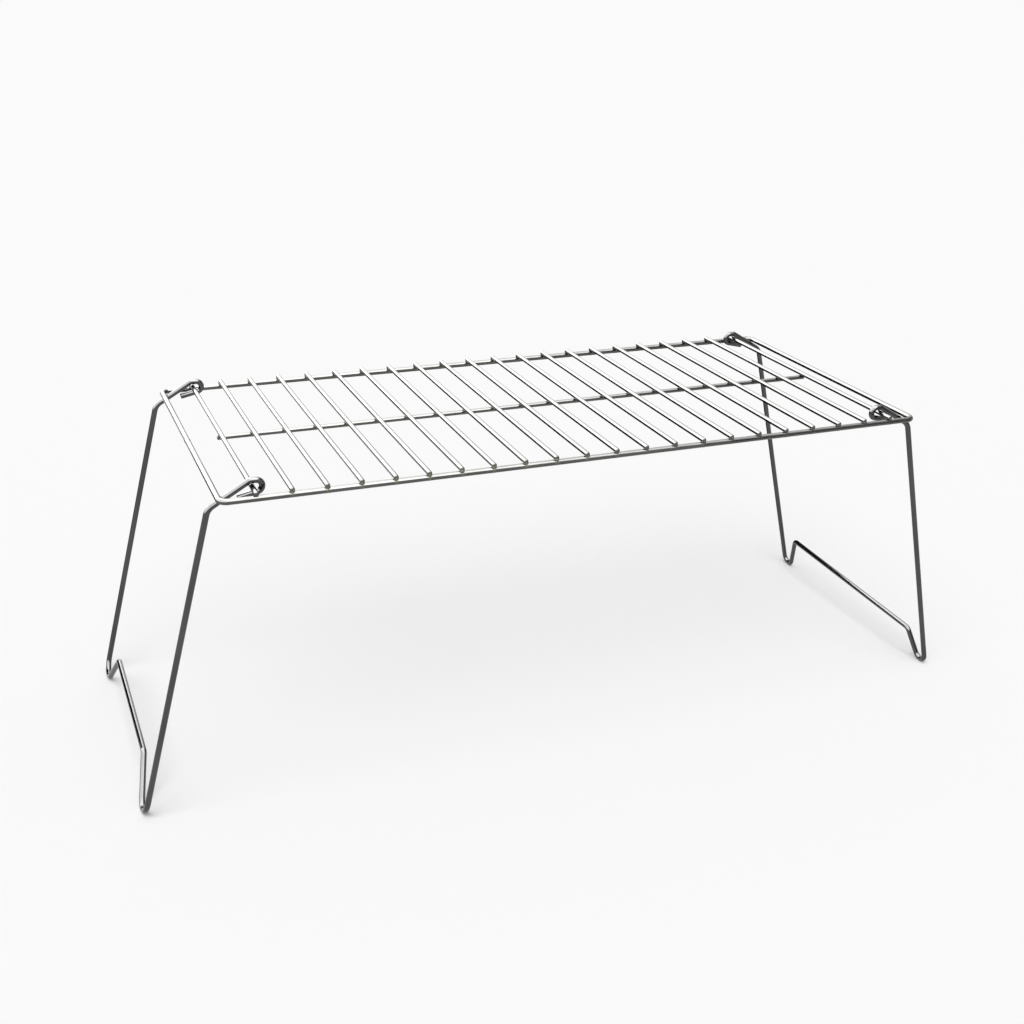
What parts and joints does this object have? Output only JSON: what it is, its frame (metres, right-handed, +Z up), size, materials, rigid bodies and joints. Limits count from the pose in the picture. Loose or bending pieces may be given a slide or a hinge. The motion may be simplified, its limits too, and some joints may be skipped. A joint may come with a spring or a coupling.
{
  "type": "folding wire cooling rack",
  "caption": "Rectangular welded wire cooling rack on two splayed folding wire legs that hook round its outermost cross wires and tuck flat under it.",
  "frame": {"origin": "on the table plane, below the middle of the rack's top", "axes": "+X along the rack's length towards the right leg, +Y towards the back, +Z up"},
  "size_m": [0.76, 0.279, 0.2791],
  "materials": {
    "rack_wire": "bright chrome plating on round steel wire, slightly dulled and tinted at the welds",
    "leg_wire": "bright chrome plating on round steel wire, scuffed under the feet"
  },
  "bodies": {
    "rack": {"perimeter_frame": "rack_wire", "centre_rod": "rack_wire", "left_hinge_wire": "rack_wire", "cross_wire_02": "rack_wire", "cross_wire_03": "rack_wire", "cross_wire_04": "rack_wire", "cross_wire_05": "rack_wire", "cross_wire_06": "rack_wire", "cross_wire_07": "rack_wire", "cross_wire_08": "rack_wire", "cross_wire_09": "rack_wire", "cross_wire_10": "rack_wire", "cross_wire_11": "rack_wire", "cross_wire_12": "rack_wire", "cross_wire_13": "rack_wire", "cross_wire_14": "rack_wire", "cross_wire_15": "rack_wire", "cross_wire_16": "rack_wire", "cross_wire_17": "rack_wire", "cross_wire_18": "rack_wire", "cross_wire_19": "rack_wire", "cross_wire_20": "rack_wire", "cross_wire_21": "rack_wire", "right_hinge_wire": "rack_wire"},
    "left_leg": {"left_leg": "leg_wire"},
    "right_leg": {"right_leg": "leg_wire"}
  },
  "joints": [
    {"name": "left_leg_fold", "type": "hinge", "parent": "rack", "child": "left_leg", "pos_m": [-0.27811, 0.004, 0.272], "axis": [0, -1, 0], "range_deg": [0, 107]},
    {"name": "right_leg_fold", "type": "hinge", "parent": "rack", "child": "right_leg", "pos_m": [0.27811, 0.004, 0.272], "axis": [0, 1, 0], "range_deg": [0, 109]}
  ]
}
